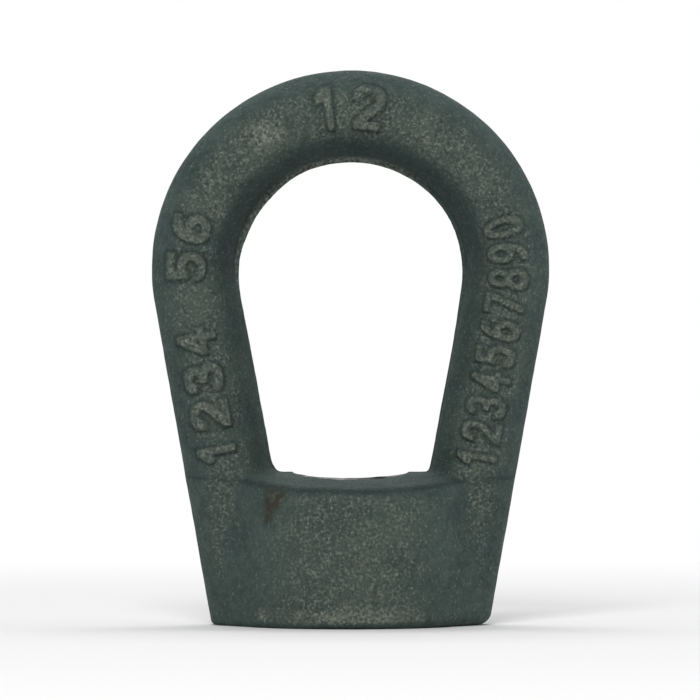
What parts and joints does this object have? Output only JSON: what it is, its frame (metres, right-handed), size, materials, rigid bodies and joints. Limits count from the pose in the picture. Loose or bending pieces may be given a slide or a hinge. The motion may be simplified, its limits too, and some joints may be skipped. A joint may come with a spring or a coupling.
{
  "type": "bow nut",
  "caption": "Forged bow nut: a round-section bow closing a pear-shaped eye over a round boss with a threaded through hole.",
  "frame": {"origin": "middle of the flat seat face, on the axis of the threaded hole", "axes": "+Z from the seat face up through the eye to the crown, the bow lies in the XZ plane, Y is its thickness"},
  "size_m": [0.0568, 0.0346, 0.0792],
  "materials": {
    "forged_steel": "self-coloured forging, shot-blasted, dull dark grey-green with fine grain"
  },
  "bodies": {
    "root": {"bow_nut": "forged_steel"}
  },
  "joints": []
}
